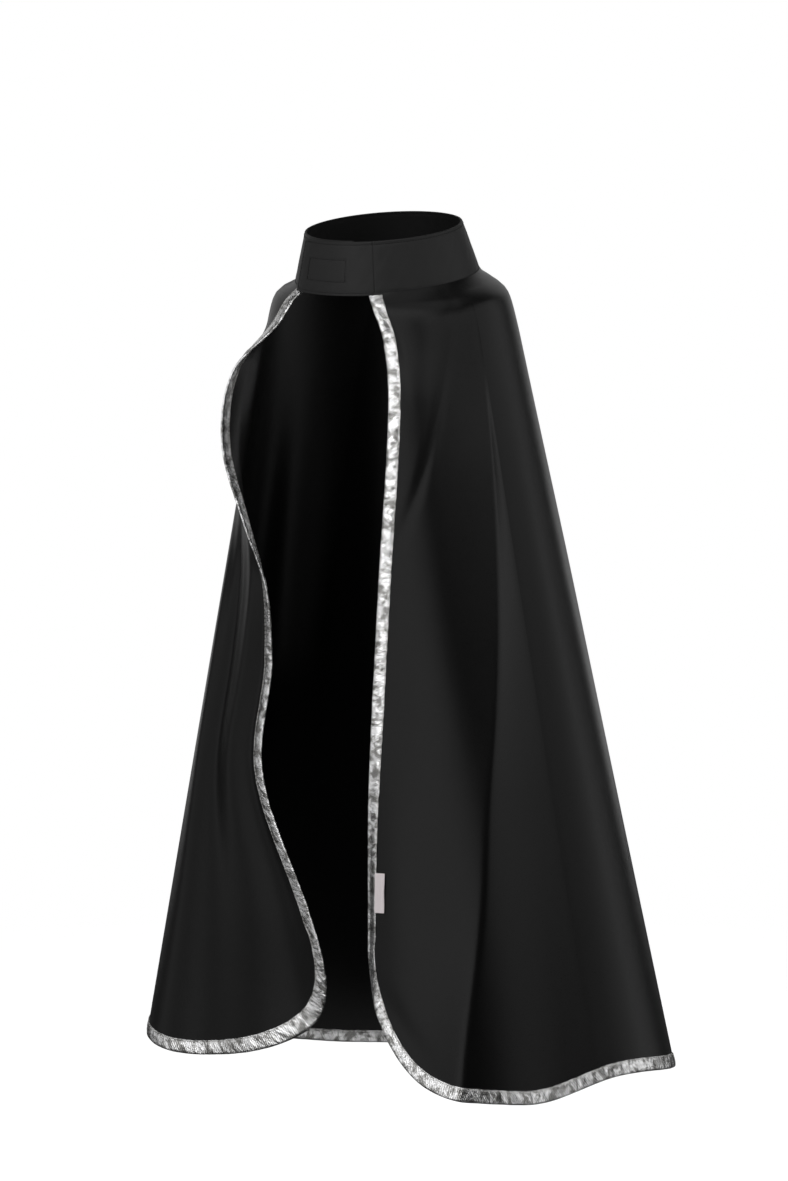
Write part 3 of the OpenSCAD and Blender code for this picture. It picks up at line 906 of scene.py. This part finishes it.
TURN_IN = STITCH_IN / PER_TURN
SEAM_OFF = FACE_OFF - 0.08
LOW_LINE, HIGH_LINE = STITCH_IN, COLLAR_H - STITCH_IN
FLAP_LINE, UNDERLAP_LINE = TURN_IN - FLAP_REACH, TURN_END - TURN_IN
collar_seam = band_stitches(
    [(FOLD_TURN, LOW_LINE, UNDERLAP_LINE, LOW_LINE),
     (FOLD_TURN, HIGH_LINE, UNDERLAP_LINE, HIGH_LINE),
     (UNDERLAP_LINE, LOW_LINE, UNDERLAP_LINE, HIGH_LINE)],
    SEAM_OFF, "collar_stitches")
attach(collar_seam, "cape")
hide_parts("collar_topstitch")
A0, A1, H0, H1 = BOX
flap_seam = band_stitches(
    [(FLAP_LINE, LOW_LINE, FOLD_TURN, LOW_LINE),
     (FLAP_LINE, HIGH_LINE, FOLD_TURN, HIGH_LINE),
     (FLAP_LINE, LOW_LINE, FLAP_LINE, HIGH_LINE),
     (A0, H0, A1, H0), (A0, H1, A1, H1), (A0, H0, A0, H1), (A1, H0, A1, H1)],
    SEAM_OFF, "flap_stitches")
fold_over(flap_seam)
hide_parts("flap_topstitch")

for node, made in (("collar_stiffener", INTERLINING), ("flap_stiffener", INTERLINING)):
    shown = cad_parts[node]
    shown.data.materials.clear()
    shown.data.materials.append(made)


# ---- the closure ----

PATCH_TURNS = (PATCH_END - PATCH_ANGLE, PATCH_END)
PATCH_LEVEL = FACE_OFF + LAYER_GAP


def tape(turn, face, pile, name):
    """A tape sewn on the collar's face: crowned, with a flat selvedge all round it."""
    turns = np.linspace(turn + PATCH_TURNS[0], turn + PATCH_TURNS[1], 84)
    hs = np.linspace(PATCH_LOW, PATCH_LOW + PATCH_H, 38)
    T, H = np.meshgrid(turns, hs, indexing="ij")
    inset = np.minimum(np.minimum(T - turns[0], turns[-1] - T) * PER_TURN,
                       np.minimum(H - hs[0], hs[-1] - H))
    top = PATCH_T * (0.45 + 0.4 * smooth((inset - 1.2) / 0.8))
    top = top * smooth((inset + 0.35) / 0.6) + 0.02
    rng = np.random.default_rng(5)
    top = top + pile * rng.uniform(-1, 1, top.shape) * smooth((inset - 1.2) / 0.8)
    p = np.concatenate([band(T, H, face * (PATCH_LEVEL + top)),
                        band(T, H, face * PATCH_LEVEL)])
    n, m = len(turns), len(hs)
    low = n * m
    faces = grid_faces(n, m) + [q[::-1] for q in grid_faces(n, m, base=low)]
    rim = ([(i, 0) for i in range(n)] + [(n - 1, j) for j in range(1, m)]
           + [(i, m - 1) for i in range(n - 2, -1, -1)] + [(0, j) for j in range(m - 2, 0, -1)])
    rim = [i * m + j for i, j in rim]
    faces += [(b, a, a + low, b + low) for a, b in zip(rim, rim[1:] + rim[:1])]
    if face > 0:
        faces = [q[::-1] for q in faces]
    return new_piece(name, p.reshape(-1, 3), faces)


def hooks(turn, face, name):
    """Rows of short slanted hooks standing on the tape."""
    rng = np.random.default_rng(8)
    T, H = np.meshgrid(np.linspace(turn + PATCH_TURNS[0] + 2.2, turn + PATCH_TURNS[1] - 2.2, 30),
                       np.linspace(PATCH_LOW + 2.6, PATCH_LOW + PATCH_H - 2.6, 12), indexing="ij")
    T, H = T.ravel() + rng.uniform(-0.1, 0.1, T.size), H.ravel()
    foot = band(T, H, face * (PATCH_LEVEL + 0.8 * PATCH_T))
    tip = band(T + 0.35, H + 0.15, face * (PATCH_LEVEL + PATCH_T + 0.12))
    up = unit(band(T + 2, H, 0) - band(T, H, 0))
    p, faces = capsules(foot, tip, up, 0.26, 0.26)
    return new_piece(name, p, faces)


hook_tape = dress(tape(0, -1, 0.02, "hook_tape"), HOOK_TAPE)
hook_rows = dress(hooks(0, -1, "hook_rows"), HOOK_TAPE)
loop_tape = dress(tape(360, 1, 0.09, "loop_tape"), LOOP_TAPE)
for piece in (hook_tape, hook_rows):
    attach(piece, "flap")
    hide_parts("hook_patch")
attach(loop_tape, "cape")
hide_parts("loop_patch")


# ---- the labels ----

RIBBON_T = 0.16
# Folded ribbon seen end on: (mm out of the binding, mm off the cloth)
RIBBON_FOLD = [(-0.9, 1.42), (0.6, 1.34), (2.6, 1.5), (5.0, 1.66), (7.0, 1.6), (7.8, 1.45),
               (8.05, 1.2), (7.8, 0.96), (7.0, 0.86), (4.0, 0.84), (0.6, 0.8), (-0.2, 0.8)]


def make_side_label():
    """The ribbon, folded double, standing out of the binding's inner edge."""
    rows = np.linspace(LABEL_DROP, LABEL_DROP + LABEL_H, 34)
    at = (rows - LABEL_DROP) / LABEL_H
    lift = 0.25 * np.sin(at * 5.2) * (1 - 0.5 * at)
    width = share_w(LEFT, rows)
    columns = []
    for out, off in smooth_path(RIBBON_FOLD, 5):
        u = BINDING_W + 0.3 + out + 0.12 * np.sin(at * 9) * (out > 6)
        columns.append(cloth_off(LEFT, u / width, rows, off + lift * np.clip(out / LABEL_W, 0, 1)))
    p = np.stack(columns)
    nu, nv = p.shape[:2]
    piece = new_piece("ribbon_label", p.reshape(-1, 3), grid_faces(nu, nv), sharp_rim=True)
    return solidify(piece, RIBBON_T)


def smooth_path(points, parts):
    """Points along a smooth curve through the given ones."""
    table = [(i, *p) for i, p in enumerate(points)]
    x = np.linspace(0, len(points) - 1, (len(points) - 1) * parts + 1)
    return np.stack([curve(table, k, x) for k in (1, 2)], -1)


def make_care_label():
    """The blank label sewn in at the back of the neck, folded once."""
    half = CARE_W / 2 / NECK_R * 180 / math.pi
    shares = np.linspace(-1, 1, 30)
    fold = smooth_path([(0.6, -1.0), (9, -1.25), (20, -1.5), (30, -1.7), (CARE_H - 0.6, -1.7),
                        (CARE_H, -1.45), (CARE_H - 0.6, -1.2), (28, -1.15), (14, -1.05)], 6)
    p = np.stack([cloth_off(ROUND, 180 + x * half, fold[:, 0], fold[:, 1] - 0.5 * (
        abs(x) ** 3) * smooth(fold[:, 0] / CARE_H)) for x in shares])
    piece = new_piece("care_label_ribbon", p.reshape(-1, 3), grid_faces(*p.shape[:2]),
                      sharp_rim=True)
    return solidify(piece, RIBBON_T)


side_label = dress(make_side_label(), RIBBON)
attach(side_label, "label")
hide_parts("side_label")
care_label = dress(make_care_label(), SATIN)
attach(care_label, "cape")
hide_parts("care_label")


# ---- each cloth's binding, looked up ----


for part, cloth_piece in ((LEFT, cloth_left), (RIGHT, cloth_right), (ROUND, cloth_back)):
    tape_piece, seam, edge = BINDINGS[part]


# ---- the room ----

def panel(name, where, target, size, radiance):
    """A soft light that the camera doesn't see, of a size in metres and a radiance."""
    lamp = bpy.data.lights.new(name, "AREA")
    lamp.shape = "RECTANGLE"
    lamp.size, lamp.size_y = size
    lamp.energy = radiance * math.pi * size[0] * size[1]
    holder = bpy.data.objects.new(name, lamp)
    holder.location = where
    holder.rotation_euler = (Vector(target) - Vector(where)).to_track_quat("-Z", "Y").to_euler()
    holder.visible_camera = False
    bpy.context.scene.collection.objects.link(holder)


def polar(azimuth, elevation, distance, centre):
    """A place at an azimuth from -Y towards +X, an elevation and a distance in metres."""
    a, e = math.radians(azimuth), math.radians(elevation)
    return Vector(centre) + distance * Vector(
        (math.sin(a) * math.cos(e), -math.cos(a) * math.cos(e), math.sin(e)))


TARGET = (0, 0.010, -0.246)
VIEW_AZIMUTH, VIEW_ELEVATION, VIEW_DISTANCE = 38, 8, 5.0
camera_data = bpy.data.cameras.new("camera")
camera_data.sensor_fit = "VERTICAL"
camera_data.sensor_height = 24
camera_data.lens = 130.3
camera_data.clip_end = 300
camera = bpy.data.objects.new("camera", camera_data)
camera.location = polar(VIEW_AZIMUTH, VIEW_ELEVATION, VIEW_DISTANCE, TARGET)
camera.rotation_euler = (Vector(TARGET) - camera.location).to_track_quat("-Z", "Y").to_euler()
bpy.context.scene.collection.objects.link(camera)
bpy.context.scene.camera = camera

# Softboxes stand round the object, each at an azimuth from the camera's own, and leave a
# dark gap to the right of the camera: (azimuth, elevation, distance, width, height, radiance)
SOFTBOXES = [(-82, 10, 1.9, 2.1, 2.6, 0.55), (-34, 10, 1.9, 1.3, 2.4, 1.35),
             (89, 10, 1.9, 2.2, 2.6, 0.8), (-22, 52, 1.9, 2.4, 0.9, 1.3),
             (-150, 14, 2.4, 1.7, 2.2, 0.5), (160, 14, 2.4, 1.4, 2.2, 0.5),
             (20, 80, 1.9, 1.5, 1.5, 0.7)]
for number, (turn, height, distance, wide, tall, radiance) in enumerate(SOFTBOXES):
    panel(f"softbox_{number}", polar(VIEW_AZIMUTH + turn, height, distance, TARGET), TARGET,
          (wide, tall), radiance)
# A small strip inside the cape stands for the light that a pale form would throw back
FILL_SIZE = (0.05, 0.34)
FILL_RADIANCE = 0.008 / (FILL_SIZE[0] * FILL_SIZE[1])
panel("inner_fill", (-0.045, 0.060, -0.20), (-0.085, -0.11, -0.20), FILL_SIZE, FILL_RADIANCE)
# A strip below the back hem, which its binding reflects as the real one does the floor
panel("hem_strip", (-0.094, 0.097, -0.694), (-0.146, 0.127, -0.640), (0.24, 0.05), 0.5)
# A near panel, level with the collar, that only the shoulder and the upper front reflect
panel("shoulder_panel", polar(VIEW_AZIMUTH + 30, 0, 0.85, (0, 0.01, 0.30)),
      (0.05, -0.04, -0.10), (0.85, 0.42), 1.1)

world = bpy.data.worlds.new("studio")
world.use_nodes = True
tree = world.node_tree
backdrop = tree.nodes["Background"]
backdrop.inputs["Color"].default_value = (1, 1, 1, 1)
backdrop.inputs["Strength"].default_value = 1.0
ambient = tree.nodes.new("ShaderNodeBackground")
ambient.inputs["Color"].default_value = (1, 1, 1, 1)
ambient.inputs["Strength"].default_value = 0.04
seen = tree.nodes.new("ShaderNodeLightPath")
either = tree.nodes.new("ShaderNodeMixShader")
tree.links.new(seen.outputs["Is Camera Ray"], either.inputs[0])
tree.links.new(ambient.outputs[0], either.inputs[1])
tree.links.new(backdrop.outputs[0], either.inputs[2])
tree.links.new(either.outputs[0], tree.nodes["World Output"].inputs["Surface"])
bpy.context.scene.world = world
bpy.context.scene.view_settings.view_transform = "Standard"

FLOOR_Z, FLOOR_R = -0.92, 2.2
floor = new_piece("floor", [(FLOOR_R / MM * math.cos(t), FLOOR_R / MM * math.sin(t), FLOOR_Z / MM)
                            for t in np.linspace(0, 2 * math.pi, 97)[:-1]], [tuple(range(96))])
pale = material("pale_floor", grey(0.9), 0.8, Emission_Color=(1, 1, 1, 1), Emission_Strength=0.75)
n = Nodes(pale)
reach = n.add("ShaderNodeVectorMath", Vector=n.place((1, 1, 0), "Object"))
reach.operation = "LENGTH"
n.put(n.shader.inputs["Alpha"], n.scaled(reach.outputs["Value"], 0.8, FLOOR_R * 0.98, 1, 0))
floor.data.materials.append(pale)
# The floor is bright to the camera, but it throws no light up under the cape
floor.visible_diffuse = floor.visible_glossy = False
